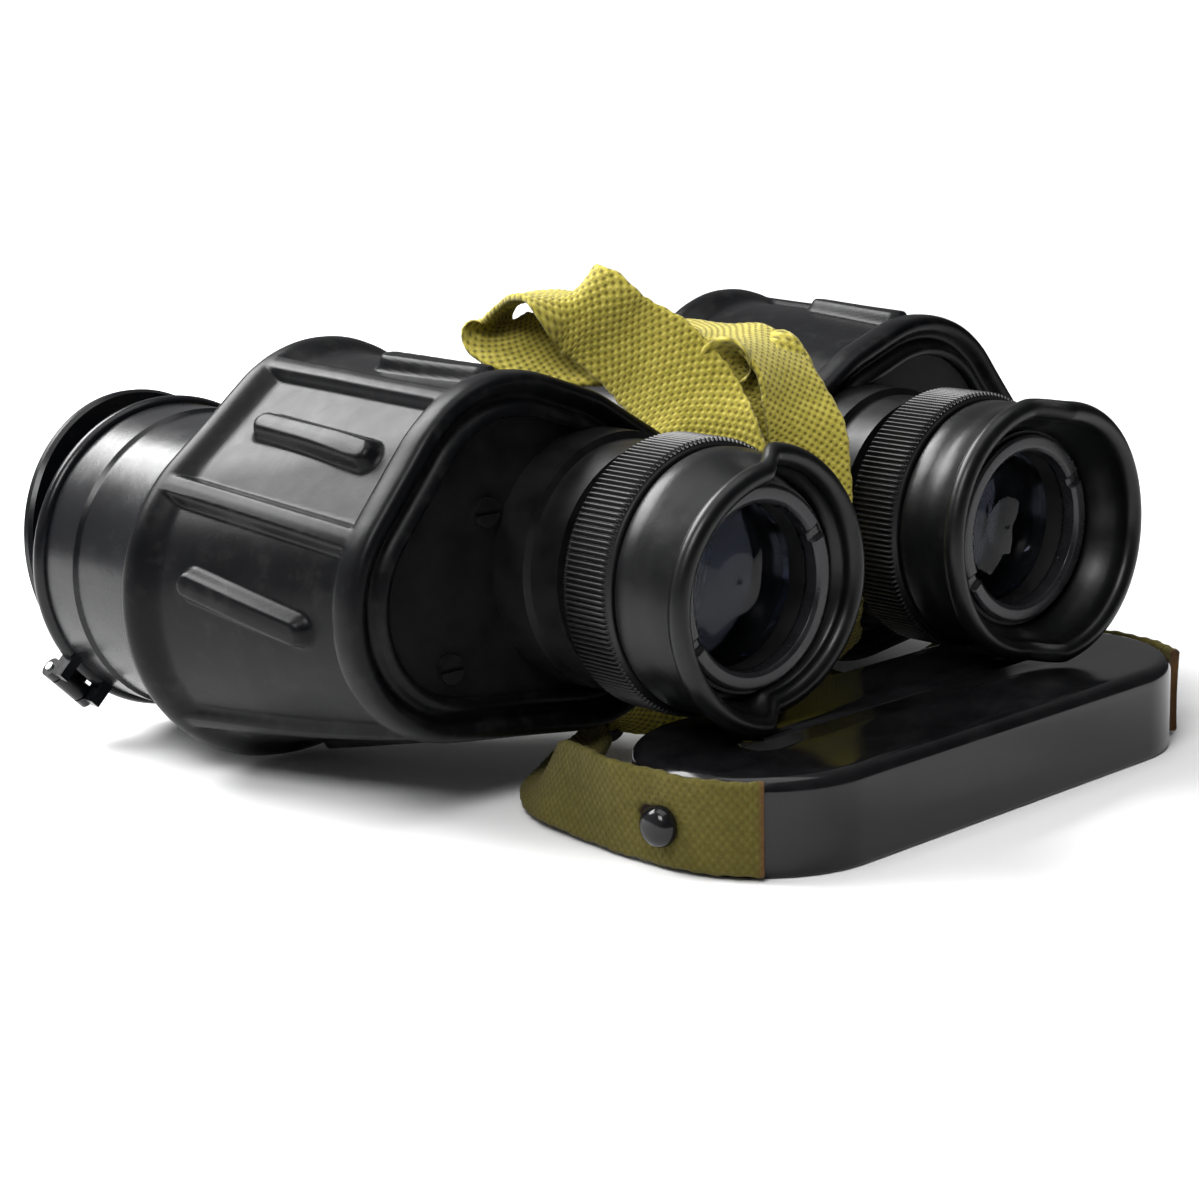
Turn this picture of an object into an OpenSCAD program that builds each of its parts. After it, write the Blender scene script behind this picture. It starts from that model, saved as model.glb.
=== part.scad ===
// Rubber-armoured field binoculars with individually focused eyepieces,
// a rain guard for the eyepieces and a webbing neck strap.
// Design frame: x across, y along the optical axes (objectives at +y), z up, millimetres.

/* [Overall] */
// Distance between the eyepiece axes at rest
eye_gap = 65; // [64:0.5:67]
// Height of the eyepiece axes above the table
axis_h = 39.2; // [38.8:0.1:40]
// Forward shift that centres the part on its box
y_shift = 58.2; // [56:0.1:60]

/* [Housing] */
// Rear face of the armour
rear_y = 37.3; // [36:0.5:40]
// Front face of the armour
front_y = 92.5; // [90:0.5:96]
// Thickness of the rubber armour under a panel
armour_t = 2.4; // [2:0.1:3]
// Wall of the metal housing
wall_t = 2.5; // [2:0.1:3]
// How far the panels sit below the rims
panel_drop = 2; // [1:0.1:2.5]

/* [Objective end] */
// Sideways offset of the objective axis, outward from the eyepiece axis
obj_w = 28; // [27:0.5:29]
// Height of the objective axis from the eyepiece axis
obj_z = -6.8; // [-8:0.1:-6]
// Outer radius of the rubber sleeve
sleeve_r = 27.4; // [27:0.1:28]
// Front of the sleeve
sleeve_y = 126; // [124:0.5:128]
// Opening angle of the objective caps at rest
cap_open = 11; // [8:1:14]

/* [Eyepieces] */
// Outer radius of the knurled focusing ring
ring_r = 22.6; // [22:0.1:23]
// Radius of the sliding ocular tube
tube_r = 16.2; // [16:0.1:16.4]
// Major radius of the rolled eyecup lip
lip_r = 20; // [19.5:0.1:20.2]

/* [Hinge] */
// Height of the hinge axis above the eyepiece axes
hinge_z = 14; // [12:0.5:15]
// Radius of the hinge pin
pin_r = 4; // [3:0.1:4.5]
// Outer radius of the knuckles
knuckle_r = 8; // [7:0.1:8.5]

/* [Rain guard] */
// Length over the round ends
guard_l = 117; // [112:1:120]
// Width of the guard
guard_w = 41.4; // [40:0.2:42]
// Height of the guard
guard_h = 15.7; // [15:0.1:15.9]

/* [Strap] */
// Width of the webbing
web_w = 14.6; // [14:0.2:15]
// Thickness of the webbing
web_t = 1.5; // [1.2:0.1:1.8]

/* [Hidden] */

fit = 0.05;
eye_x = eye_gap / 2;
cap_ang = -45;
cap_arm = 30.6;
cap_reach = 33;
cap_y = sleeve_y + 1;
knuckles_left = [[42, 52], [76, 86]];
knuckles_right = [[52.3, 75.7]];
guard_x = 2.7;
guard_y = -1.9;
guard_turn = 3;
guard_r = guard_w / 2;
guard_half = guard_l / 2 - guard_r;
// outlines as circles: outward offset, height, radius
rear_out = [[26.9, -3.1, 23.2], [16.7, 8.4, 23.9], [6, 9.6, 19.1], [0.3, -2.8, 26.8]];
front_out = [[28, -7.8, 31.4], [16.8, 8.7, 25.6], [0, 0, 23]];

module row() { translate([0, -y_shift, axis_h]) children(); }
// places a barrel part: origin on the eyepiece axis, +x outward
module side(s) {
  row() if (s > 0) translate([eye_x, 0, 0]) children();
        else mirror([1, 0, 0]) translate([eye_x, 0, 0]) children();
}
// cylinder along +y
module rod(r, y0, y1, fn = 64) {
  translate([0, y0, 0]) rotate([-90, 0, 0]) cylinder(r = r, h = y1 - y0, $fn = fn);
}
// ring of a profile in (radius, y) turned about the y axis
module lathe(fn = 72) {
  rotate([-90, 0, 0]) rotate_extrude($fn = fn) children();
}
module slice(out, d, y, t, fn = 32) {
  for (c = out) translate([c[0], y, c[1]]) rotate([-90, 0, 0]) cylinder(r = c[2] - d, h = t, $fn = fn);
}

// body block between the rims, set back by d from the outer outline
module block(d, y0, y1) {
  hull() { slice(rear_out, d, y0, 0.5); slice(front_out, d, y1 - 0.5, 0.5); }
}
module rim(out, y0, y1) {
  hull() {
    slice(out, 1.2, y0, 0.4);
    slice(out, 0, y0 + 1.6, y1 - y0 - 3.2);
    slice(out, 1.2, y1 - 0.4, 0.4);
  }
}
// rounded bar on the armour between two points
module bar(a, b, r) {
  hull() { translate(a) sphere(r = r, $fn = 12); translate(b) sphere(r = r, $fn = 12); }
}
// slot that a hinge web passes through, larger by c all round
module arm_window(s, c) {
  for (y = s > 0 ? knuckles_right : knuckles_left)
    translate([2 - eye_x, y[0] - c, 9 - c]) cube([24.5, y[1] - y[0] + 2 * c, 8 + 2 * c]);
}

module cavity() { block(panel_drop + armour_t + wall_t, 40, 88.4); }
module housing(s) {
  difference() {
    block(panel_drop + armour_t, 41, 91);
    cavity();
    translate([obj_w, 0, obj_z]) rod(25.05, 80, 100);
    arm_window(s, 0);
  }
}
module armour(s) {
  difference() {
    union() {
      block(panel_drop, rear_y + 1, front_y - 1);
      rim(rear_out, rear_y, rear_y + 6.6);
      rim(front_out, front_y - 7, front_y);
      bar([27, 41, 28.2], [27.2, 89, 29.4], 2.2);
      bar([44.5, 41, 7.2], [48.2, 89, 11.6], 2.2);
      bar([33.5, 41, -23.2], [49.5, 89, -27.4], 2.2);
      bar([34.6, 51, 18.2], [37, 76, 20.6], 2.6);
      bar([47.8, 52, -5.8], [53, 76, -2.6], 2.6);
      bar([17.4, 47, 30], [19, 67, 31.6], 2.6);
      bar([26.4, 52, -29.2], [27.2, 76, -33.6], 2.6);
      bar([-8, 50, 20.8], [-7.4, 80, 20.4], 2);
    }
    block(panel_drop + armour_t - 0.05, rear_y + 3.7, front_y - 1.4);
    hull() { slice(rear_out, 5.2, rear_y - 1, 1); slice(rear_out, 5.2, rear_y + 5, 1); }
    translate([obj_w, 0, obj_z]) rod(28, 88, 100, 48);
    rod(21.6, rear_y - 1, rear_y + 5, 96);
    arm_window(s, 0.1);
  }
}
module rear_plate() {
  difference() {
    hull() { slice(rear_out, 5.4, 38.8, 0.4); slice(rear_out, 5.4, 40.5, 0.4); }
    rod(20.9, 30, 50);
    for (p = screw_at) translate([p[0], 0, p[1]]) rod(1.55, 30, 50, 24);
  }
}
screw_at = [[22.7, 10.4], [31, -14]];
module plate_screws() {
  for (p = screw_at) translate([p[0], 0, p[1]]) difference() {
    union() { rod(2.4, 37.6, 38.8, 32); rod(1.5, 38.7, 40.8, 24); }
    translate([-3, 37.5, -0.35]) cube([6, 0.7, 0.7]);
  }
}
module eyepiece_base() {
  lathe() polygon([[tube_r + fit, 16], [18, 16], [18, 23.4], [20.3, 24], [20.3, 30.5],
    [21.5, 31], [21.5, 38.7], [20.8, 38.7], [20.8, 40.9], [17.2, 40.9], [17.2, 43.2],
    [tube_r + fit, 43.2]]);
}
module ocular_tube() {
  lathe() polygon([[14.6, 2.6], [14.6, 0.6], [16.9, 0.6], [16.9, 2.7], [tube_r, 2.7],
    [tube_r, 37], [13.2, 37], [13.2, 27.2], [14, 27.2], [14, 9.8], [13.6, 9.8], [13.6, 2.6]]);
}
module field_lens() {
  lathe() polygon([[0, 21.4], [5, 21.7], [10, 22.6], [13.9, 24], [13.9, 27.1], [0, 27.1]]);
}
module eye_lens() {
  lathe() polygon([[0, 3.6], [5, 3.9], [9, 4.6], [13.5, 6], [13.5, 9.6], [0, 9.6]]);
}
module ocular_ring() {
  lathe() polygon([[13.4, -0.2], [14.2, -0.6], [16.1, -0.6], [16.4, -0.2], [16.4, 0.55],
    [14.55, 0.55], [14.55, 2.4], [13.4, 2.4]]);
}
module focus_ring() {
  lathe() polygon([[tube_r + fit, 3], [18.4, 3], [18.4, 10.2], [21.6, 10.2], [22.2, 10.7],
    [ring_r, 11.2], [ring_r, 19.8], [22.1, 20.5], [18.05, 20.5], [18.05, 13.4], [tube_r + fit, 13.4]]);
}
module eyecup() {
  lathe() union() {
    polygon([[18.45, 9.8], [18.45, 2.8], [17.3, 2.4], [17.2, 0], [18.2, -3.4], [20, -2],
      [21, 1.5], [20.6, 5], [21.2, 9], [21, 9.8]]);
    translate([lip_r, -4]) circle(r = 3.2, $fn = 24);
  }
}
module objective_tube() {
  translate([obj_w, 0, obj_z]) lathe() polygon([[25, 85.6], [25, 120.5], [22.8, 120.5], [22.8, 107.6],
    [21.4, 107.6], [21.4, 100], [22.8, 99], [22.8, 85.6]]);
}
module objective_sleeve() {
  translate([obj_w, 0, obj_z]) lathe() union() {
    polygon([[25.05, front_y + 0.1], [27.9, front_y + 0.1], [27.9, 96], [26.8, 96.6],
      [26.8, 112.5], [sleeve_r, 113.2], [sleeve_r, sleeve_y], [25.1, sleeve_y]]);
    translate([sleeve_r - 0.2, 124.2]) circle(r = 1.5, $fn = 24);
  }
  on_cap_hinge() difference() {
    for (x = [-5.2, 3.2]) translate([x, 0, 0]) union() {
      rotate([0, 90, 0]) cylinder(r = 1.9, h = 2, $fn = 32);
      translate([0, -4.6, -1]) cube([2, 3.6, 5]);
    }
    translate([-6, 0, 0]) rotate([0, 90, 0]) cylinder(r = 0.8, h = 12, $fn = 32);
  }
}
// frame on the cap hinge: x along the pin, z toward the objective axis
module on_cap_hinge() {
  translate([obj_w + cap_arm * cos(cap_ang), cap_y, obj_z + cap_arm * sin(cap_ang)])
    rotate([0, -90 - cap_ang, 0]) children();
}
module objective_lens() {
  translate([obj_w, 0, obj_z]) lathe() polygon([[0, 107.7], [22.7, 107.7], [22.7, 112.4],
    [18, 113.6], [12, 114.6], [6, 115.2], [0, 115.4]]);
}
module objective_ring() {
  translate([obj_w, 0, obj_z]) lathe() polygon([[22.7, 112.6], [22.7, 118.4], [21.2, 118.4], [20.8, 117.6],
    [20.8, 113.1]]);
}
module objective_cap() {
  on_cap_hinge() rotate([-cap_open, 0, 0]) difference() {
    union() {
      translate([0, 0, cap_reach]) lathe() polygon([[0, 1.6], [19.8, 1.6], [20.4, 0.9], [20.2, -1.2],
        [21.7, -1.2], [22.2, -0.2], [27, -0.1], [27.6, 0.6], [27.6, 1.8], [27, 2.6], [20, 3.1], [0, 3.1]]);
      translate([-2.9, 0, 0]) rotate([0, 90, 0]) cylinder(r = 1.9, h = 5.8, $fn = 32);
      translate([-2.9, 0, 0]) cube([5.8, 1.8, 7.5]);
    }
    translate([-6, 0, 0]) rotate([0, 90, 0]) cylinder(r = 0.8 + fit, h = 12, $fn = 32);
  }
}
module cap_pin() {
  on_cap_hinge() translate([-5.6, 0, 0]) rotate([0, 90, 0]) cylinder(r = 0.8, h = 11.2, $fn = 32);
}
// right-angle prism: hypotenuse centred on the origin facing +y, long side along x
module prism(f) {
  translate([0, 0, -f / 2]) linear_extrude(height = f)
    polygon([[-f, 0], [f, 0], [f, -0.8], [1.2, 1.2 - f], [-1.2, 1.2 - f], [-f, -0.8]]);
}
prism_f = norm([obj_w, obj_z]) / sqrt(2);
prism_a = atan2(obj_z, obj_w) + 45;
prism_p = [prism_f * cos(prism_a), prism_f * sin(prism_a)];
module prism_front() {
  translate([prism_p[0] / 2, 65.9, prism_p[1] / 2]) rotate([0, -prism_a, 0])
    mirror([0, 1, 0]) prism(prism_f);
}
module prism_rear() {
  translate([(obj_w + prism_p[0]) / 2, 64.1, (obj_z + prism_p[1]) / 2])
    rotate([0, 90 - prism_a, 0]) prism(prism_f);
}
module prism_shelf() {
  difference() {
    hull() for (p = [[obj_w, obj_z, 17.5], [prism_p[0], prism_p[1], 15.5], [0, 0, 16.5]])
      translate([p[0], 64.2, p[1]]) rotate([-90, 0, 0]) cylinder(r = p[2], h = 1.6, $fn = 32);
    for (p = [[obj_w, obj_z], prism_p, [0, 0]]) translate([p[0], 0, p[1]]) rod(8.8, 60, 70);
  }
}
module strap_lug() {
  difference() {
    union() {
      translate([-8.5, 44.2, -31.6]) rotate([-90, 0, 0]) cylinder(r = 3.6, h = 2.4, $fn = 32);
      translate([-11.6, 44.2, -31.6]) cube([6.2, 2.4, 8]);
    }
    translate([-8.5, 40, -31.6]) rotate([-90, 0, 0]) cylinder(r = 2.1, h = 10, $fn = 32);
    block(panel_drop, rear_y + 1, front_y - 1);
  }
}
// knuckle with its web, which ends in the wall of the housing
module knuckle(y, bore) {
  difference() {
    union() {
      translate([0, 0, hinge_z]) rod(knuckle_r, y[0], y[1]);
      translate([5, y[0], 9]) cube([21, y[1] - y[0], 8]);
    }
    translate([0, 0, hinge_z]) rod(bore, y[0] - 1, y[1] + 1);
    translate([eye_x, 0, 0]) cavity();
  }
}
module hinge_arms_left() {
  color("dimgray") row() mirror([1, 0, 0]) for (y = knuckles_left) knuckle(y, pin_r + 0.01);
}
module hinge_arm_right() { color("dimgray") row() for (y = knuckles_right) knuckle(y, pin_r + fit); }
module hinge_pin() { color("silver") row() translate([0, 0, hinge_z]) rod(pin_r, 41.9, 86.1); }
module hinge_cap_rear() {
  color("black") row() translate([0, 0, hinge_z]) difference() {
    lathe() polygon([[0, 39], [6.4, 39], [7.6, 39.8], [7.6, 41.85], [0, 41.85]]);
    translate([-5, 38, -0.6]) cube([10, 2, 1.2]);
  }
}
module hinge_cap_front() {
  color("black") row() translate([0, 0, hinge_z])
    lathe() polygon([[0, 86.15], [7.6, 86.15], [7.6, 88.4], [6.4, 89.2], [0, 89.2]]);
}

// rain guard frame: x along the guard, z = 0 on the table
module on_guard() {
  translate([guard_x, guard_y - y_shift, 0]) rotate([0, 0, guard_turn]) children();
}
module stadium(r, half, z0, z1) {
  for (s = [-1, 1]) translate([s * half, 0, z0]) cylinder(r = r, h = z1 - z0, $fn = 72);
  translate([-half, -r, z0]) cube([2 * half, 2 * r, z1 - z0]);
}
module rain_guard() {
  color("#202020") on_guard() difference() {
    stadium(guard_r, guard_half, 0, guard_h);
    stadium(guard_r - 1.8, guard_half, -1, guard_h - 1.8);
    for (s = [-1, 1]) translate([s * (guard_half + guard_r - 3), 0, guard_h / 2 - 0.4])
      rotate([0, 90, 0]) translate([0, 0, -3]) cylinder(r = 1.5, h = 8, $fn = 32);
  }
}
module guard_stud(s) {
  color("black") on_guard() translate([s * (guard_half + guard_r), 0, guard_h / 2 - 0.4])
    rotate([0, s * 90, 0]) {
      translate([0, 0, -3.2]) cylinder(r = 1.48, h = 6.4, $fn = 32);
      translate([0, 0, -3.4]) cylinder(r = 2.6, h = 1.2, $fn = 32);
      translate([0, 0, 2.2]) rotate_extrude($fn = 40)
        polygon([[0, 0], [2.6, 0], [3.3, 0.5], [3.3, 1.2], [2.6, 2.2], [1.4, 2.8], [0, 3]]);
    }
}

// strap end, in the guard frame: buttoned round the tip on edge, then flat to the lug
tail_r = guard_r + 0.4 + web_t / 2;
tail_arc = [for (a = [-42 : 5 : 8]) [guard_half + tail_r * cos(a), tail_r * sin(a)]];
tail_run = concat(tail_arc, [[59, 12], [57.6, 20], [55.4, 27], [52, 34]]);
tail_flat = [[54, 30], [51.5, 36], [43, 44], [27, 46]];
function across(p, i) = let (a = p[max(i - 1, 0)], b = p[min(i + 1, len(p) - 1)])
  [b[1] - a[1], a[0] - b[0]] / norm(b - a);
// flat strip of half width h along the points p
module strip(p, h) {
  n = len(p) - 1;
  polygon(concat([for (i = [0 : n]) p[i] + h * across(p, i)],
    [for (i = [n : -1 : 0]) p[i] - h * across(p, i)]));
}
module strap_tail() {
  difference() {
    translate([0, 0, 0.8]) union() {
      linear_extrude(height = web_w) strip(tail_run, web_t / 2);
      linear_extrude(height = web_t) strip(tail_flat, 5.5);
    }
    translate([guard_half, 0, guard_h / 2 - 0.4]) rotate([0, 90, 0]) cylinder(r = 2, h = 30, $fn = 24);
  }
}
module strap_tail_left() { color("olive") on_guard() mirror([1, 0, 0]) strap_tail(); }
module strap_tail_right() { color("olive") on_guard() strap_tail(); }
module pillow(p, r) { translate(p) scale(r) sphere(r = 1, $fn = 20); }
module strap_bundle() {
  color("olive") row() {
    hull() { pillow([-17, 80, 33.5], [10, 6.5, 5.5]); pillow([-12, 60, 38], [11, 9, 6]); }
    hull() { pillow([-12, 60, 38], [11, 9, 6]); pillow([-2, 38, 33.5], [10, 8, 6]); }
    hull() { pillow([-2, 38, 33.5], [10, 8, 6]); pillow([3, 24, 28], [8, 6, 6]); }
    hull() { pillow([3, 24, 28], [8, 6, 6]); pillow([3, 16.5, 18], [5.5, 4.5, 6]); }
  }
}

color("gray") side(-1) housing(-1);  // housing_left
color("#303236") side(-1) armour(-1);  // armour_left
color("#404448") side(-1) rear_plate();  // rear_plate_left
color("silver") side(-1) plate_screws();  // plate_screws_left
color("dimgray") side(-1) eyepiece_base();  // eyepiece_base_left
color("slategray") side(-1) ocular_tube();  // ocular_tube_left
color("lightblue") side(-1) field_lens();  // field_lens_left
color("lightblue") side(-1) eye_lens();  // eye_lens_left
color("white") side(-1) ocular_ring();  // ocular_ring_left
color("darkslategray") side(-1) focus_ring();  // focus_ring_left
color("#282828") side(-1) eyecup();  // eyecup_left
color("dimgray") side(-1) objective_tube();  // objective_tube_left
color("#38383c") side(-1) objective_sleeve();  // objective_sleeve_left
color("lightblue") side(-1) objective_lens();  // objective_lens_left
color("black") side(-1) objective_ring();  // objective_ring_left
color("#252525") side(-1) objective_cap();  // objective_cap_left
color("silver") side(-1) cap_pin();  // cap_pin_left
color("lightcyan") side(-1) prism_rear();  // prism_rear_left
color("lightcyan") side(-1) prism_front();  // prism_front_left
color("silver") side(-1) prism_shelf();  // prism_shelf_left
color("gray") side(-1) strap_lug();  // strap_lug_left
hinge_arms_left();
color("gray") side(1) housing(1);  // housing_right
color("#303236") side(1) armour(1);  // armour_right
color("#404448") side(1) rear_plate();  // rear_plate_right
color("silver") side(1) plate_screws();  // plate_screws_right
color("dimgray") side(1) eyepiece_base();  // eyepiece_base_right
color("slategray") side(1) ocular_tube();  // ocular_tube_right
color("lightblue") side(1) field_lens();  // field_lens_right
color("lightblue") side(1) eye_lens();  // eye_lens_right
color("white") side(1) ocular_ring();  // ocular_ring_right
color("darkslategray") side(1) focus_ring();  // focus_ring_right
color("#282828") side(1) eyecup();  // eyecup_right
color("dimgray") side(1) objective_tube();  // objective_tube_right
color("#38383c") side(1) objective_sleeve();  // objective_sleeve_right
color("lightblue") side(1) objective_lens();  // objective_lens_right
color("black") side(1) objective_ring();  // objective_ring_right
color("#252525") side(1) objective_cap();  // objective_cap_right
color("silver") side(1) cap_pin();  // cap_pin_right
color("lightcyan") side(1) prism_rear();  // prism_rear_right
color("lightcyan") side(1) prism_front();  // prism_front_right
color("silver") side(1) prism_shelf();  // prism_shelf_right
color("gray") side(1) strap_lug();  // strap_lug_right
hinge_arm_right();
hinge_pin();
hinge_cap_rear();
hinge_cap_front();
rain_guard();
guard_stud(-1);  // guard_stud_left
guard_stud(1);  // guard_stud_right
strap_bundle();
strap_tail_left();
strap_tail_right();
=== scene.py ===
import math
import bmesh
import bpy
import numpy as np
from mathutils import Vector, Matrix


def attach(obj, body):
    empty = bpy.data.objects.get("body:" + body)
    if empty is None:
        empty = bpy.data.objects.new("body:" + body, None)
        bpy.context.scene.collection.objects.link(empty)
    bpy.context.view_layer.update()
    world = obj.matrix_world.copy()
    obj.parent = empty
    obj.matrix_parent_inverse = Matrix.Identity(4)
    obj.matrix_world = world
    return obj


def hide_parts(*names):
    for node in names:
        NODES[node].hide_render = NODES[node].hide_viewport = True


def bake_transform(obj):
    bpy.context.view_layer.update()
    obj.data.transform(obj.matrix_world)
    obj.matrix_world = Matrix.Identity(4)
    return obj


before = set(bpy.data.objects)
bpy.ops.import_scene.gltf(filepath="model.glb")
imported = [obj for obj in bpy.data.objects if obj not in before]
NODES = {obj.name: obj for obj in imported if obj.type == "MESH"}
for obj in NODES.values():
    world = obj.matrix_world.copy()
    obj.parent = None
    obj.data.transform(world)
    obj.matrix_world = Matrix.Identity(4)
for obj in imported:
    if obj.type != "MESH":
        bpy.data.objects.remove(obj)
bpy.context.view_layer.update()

# ---------------------------------------------------------------- frame
# Design millimetres: x across, y forward, z up, with the eyepiece axes at z = 0 and their faces near y = 0.
# The row frame is metres, with its origin on the table under the middle of the object.
Y_SHIFT = 58.2
AXIS_HEIGHT = 39.2
MM = 1000

def row_point(x, y, z):
    return Vector((x / MM, (y - Y_SHIFT) / MM, (z + AXIS_HEIGHT) / MM))


def row_points(points):
    moved = np.asarray(points, float).copy()
    moved[:, 1] -= Y_SHIFT
    moved[:, 2] += AXIS_HEIGHT
    return moved / MM

# ---------------------------------------------------------------- camera
# the camera's place comes from a scratch fit to the photo
CAMERA_PLACE = (-312.74, -281.93, 86.9)   # design millimetres
CAMERA_TURN = 41.30                       # degrees to the right of forward
CAMERA_TILT = 12.54                       # degrees down
CAMERA_ROLL = -1.31
CAMERA_LENS = 78.22                       # millimetres on a 36 mm sensor


def make_camera():
    az, el, roll = (math.radians(a) for a in (CAMERA_TURN, CAMERA_TILT, CAMERA_ROLL))
    fwd = Vector((math.sin(az) * math.cos(el), math.cos(az) * math.cos(el), -math.sin(el)))
    right = Vector((math.cos(az), -math.sin(az), 0))
    up = right.cross(fwd)
    r2 = math.cos(roll) * right + math.sin(roll) * up
    u2 = -math.sin(roll) * right + math.cos(roll) * up
    cam = bpy.data.cameras.new("camera")
    ob = bpy.data.objects.new("camera", cam)
    bpy.context.scene.collection.objects.link(ob)
    pos = row_point(*CAMERA_PLACE)
    ob.matrix_world = Matrix(((r2.x, u2.x, -fwd.x, pos.x), (r2.y, u2.y, -fwd.y, pos.y),
                              (r2.z, u2.z, -fwd.z, pos.z), (0, 0, 0, 1)))
    cam.sensor_fit = "HORIZONTAL"
    cam.sensor_width = 36
    cam.lens = CAMERA_LENS
    cam.clip_start, cam.clip_end = 0.01, 50
    bpy.context.scene.camera = ob


make_camera()

# ---------------------------------------------------------------- node helpers
class Mat:
    """a node material with short calls"""
    def __init__(self, name):
        self.material = bpy.data.materials.new(name)
        self.material.use_nodes = True
        self.tree = self.material.node_tree
        self.tree.nodes.clear()
        self.out = self.node("ShaderNodeOutputMaterial")
        self.shader = self.node("ShaderNodeBsdfPrincipled")
        self.link(self.shader.outputs[0], self.out.inputs[0])
        self.coord = self.node("ShaderNodeTexCoord")
    def node(self, kind, **kw):
        x = self.tree.nodes.new(kind)
        for k, v in kw.items():
            setattr(x, k, v)
        return x
    def link(self, a, b):
        self.tree.links.new(a, b)
    def set(self, **kw):
        for k, v in kw.items():
            self.shader.inputs[k.replace("_", " ")].default_value = v
    def noise(self, scale, detail=4, rough=0.55):
        x = self.node("ShaderNodeTexNoise")
        x.inputs["Scale"].default_value = scale
        x.inputs["Detail"].default_value = detail
        x.inputs["Roughness"].default_value = rough
        self.link(self.coord.outputs["Object"], x.inputs["Vector"])
        return x.outputs["Fac"]
    def ramp(self, fac, stops):
        x = self.node("ShaderNodeValToRGB")
        e = x.color_ramp.elements
        while len(e) > 1: e.remove(e[-1])
        for i, (p, c) in enumerate(stops):
            k = e[0] if i == 0 else e.new(p)
            k.position = p
            c = (c, c, c) if not hasattr(c, "__len__") else c
            k.color = (*c[:3], 1)
        self.link(fac, x.inputs[0])
        return x.outputs[0]
    def math(self, op, a, b=None, c=None, clamp=False):
        x = self.node("ShaderNodeMath", operation=op, use_clamp=clamp)
        for i, v in enumerate((a, b, c)):
            if v is None:
                continue
            if isinstance(v, (int, float)): x.inputs[i].default_value = v
            else: self.link(v, x.inputs[i])
        return x.outputs[0]
    def mix(self, fac, a, b, mode="MIX"):
        x = self.node("ShaderNodeMix", data_type="RGBA", blend_type=mode)
        for i, v in ((0, fac), (6, a), (7, b)):
            if isinstance(v, (int, float)): x.inputs[i].default_value = v
            elif hasattr(v, "__len__"): x.inputs[i].default_value = (*v[:3], 1)
            else: self.link(v, x.inputs[i])
        return x.outputs[2]
    def bump(self, h, strength=0.3, dist=0.0005, normal=None):
        x = self.node("ShaderNodeBump")
        x.inputs["Strength"].default_value = strength
        x.inputs["Distance"].default_value = dist
        self.link(h, x.inputs["Height"])
        if normal is not None: self.link(normal, x.inputs["Normal"])
        return x.outputs[0]
    def base(self, v): self.link(v, self.shader.inputs["Base Color"])
    def rough(self, v): self.link(v, self.shader.inputs["Roughness"])
    def normal(self, v): self.link(v, self.shader.inputs["Normal"])

def rubber(name, c0, c1, r0, r1, grain=0.12, spec=0.5, dust=0.0):
    m = Mat(name)
    big = m.noise(35, 5, 0.6)
    mid = m.noise(240, 4, 0.6)
    fine = m.noise(2600, 3, 0.6)
    col = m.mix(m.ramp(big, [(0.3, 0), (0.7, 1)]), c0, c1)
    if dust:
        lay = m.math("MULTIPLY", m.ramp(mid, [(0.52, 0), (0.75, 1)]), dust)
        col = m.mix(lay, col, (0.040, 0.040, 0.038))
    m.base(col)
    m.rough(m.ramp(m.math("ADD", m.math("MULTIPLY", mid, 0.5), m.math("MULTIPLY", big, 0.5)),
                   [(0.3, r0), (0.7, r1)]))
    m.normal(m.bump(fine, grain, 0.00012, m.bump(mid, 0.10, 0.0004)))
    m.set(Specular_IOR_Level=spec)
    return m.material

def metal_paint(name, c, r0=0.3, r1=0.5, grain=0.1, metallic=0.0, spec=0.5):
    m = Mat(name)
    mid = m.noise(160, 4, 0.6)
    fine = m.noise(3200, 2, 0.6)
    m.base(m.mix(m.ramp(mid, [(0.35, 0), (0.7, 1)]), c, tuple(min(1, v * 1.35 + 0.003) for v in c)))
    m.rough(m.ramp(mid, [(0.3, r0), (0.7, r1)]))
    m.normal(m.bump(fine, grain, 0.0001))
    m.set(Metallic=metallic, Specular_IOR_Level=spec)
    return m.material

def put(name, mat):
    o = NODES[name]
    o.data.materials.clear()
    o.data.materials.append(mat)
    return o

FINISH = {
    "armour": rubber("armour_rubber", (0.0016, 0.0017, 0.0021), (0.0038, 0.0040, 0.0047), 0.26, 0.42,
                     0.13, 0.105, 0.20),
    "sleeve": rubber("sleeve_rubber", (0.0016, 0.0018, 0.0024), (0.0034, 0.0038, 0.0050), 0.20, 0.31,
                     0.05, 0.26, 0.05),
    "eyecup": rubber("eyecup_rubber", (0.0016, 0.0017, 0.0019), (0.0034, 0.0036, 0.0040), 0.27, 0.40,
                     0.07, 0.26, 0.08),
    "ring": rubber("ring_rubber", (0.0014, 0.0014, 0.0016), (0.0034, 0.0034, 0.0037), 0.32, 0.48, 0.05,
                   0.32),
    "plate": metal_paint("plate_paint", (0.0016, 0.0016, 0.0018), 0.5, 0.65, 0.25, 0.0, 0.16),
    "base": metal_paint("base_paint", (0.0022, 0.0022, 0.0025), 0.34, 0.48, 0.1, 0.0, 0.26),
    "inner": metal_paint("inner_black", (0.0035, 0.0035, 0.0035), 0.5, 0.7, 0.2),
    "steel": metal_paint("steel", (0.45, 0.45, 0.46), 0.25, 0.4, 0.15, 1.0),
    "alu": metal_paint("aluminium", (0.30, 0.30, 0.31), 0.3, 0.45, 0.15, 1.0),
    "anod": metal_paint("anodised", (0.016, 0.016, 0.018), 0.24, 0.34, 0.08, 0.3),
}


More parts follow.
